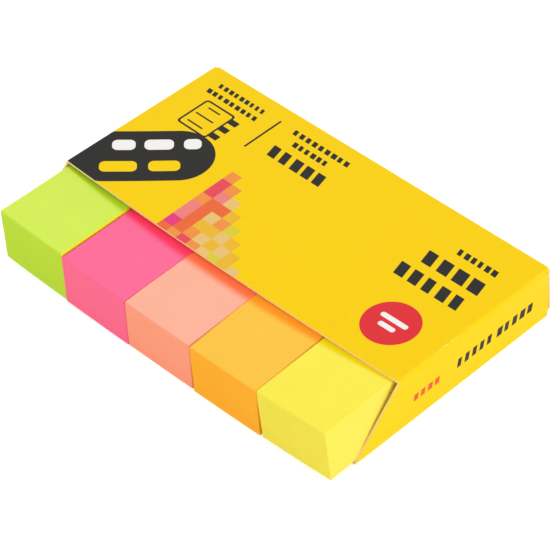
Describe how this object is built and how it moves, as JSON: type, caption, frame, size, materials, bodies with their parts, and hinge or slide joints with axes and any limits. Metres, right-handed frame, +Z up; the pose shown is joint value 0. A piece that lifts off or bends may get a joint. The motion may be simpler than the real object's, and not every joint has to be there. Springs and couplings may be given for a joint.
{
  "type": "sticky index tab dispenser",
  "caption": "Row of sticky paper index tab pads in bright colours, side by side in a folded card sleeve that leaves their front ends standing out.",
  "frame": {"origin": "under the middle of the whole object, on the plane that it rests on", "axes": "+X along the row of pads from the lime pad to the yellow one, +Y from the open front to the closed back, +Z up from the bottom panel"},
  "size_m": [0.0772, 0.0512, 0.0106],
  "materials": {
    "yellow_card": "satin",
    "lime_paper": "matte",
    "pink_paper": "matte",
    "peach_paper": "matte",
    "orange_paper": "matte",
    "yellow_paper": "matte"
  },
  "bodies": {
    "root": {"card_sleeve": "yellow_card", "pad_lime": "lime_paper", "pad_pink": "pink_paper", "pad_peach": "peach_paper", "pad_orange": "orange_paper", "pad_yellow": "yellow_paper"}
  },
  "joints": []
}
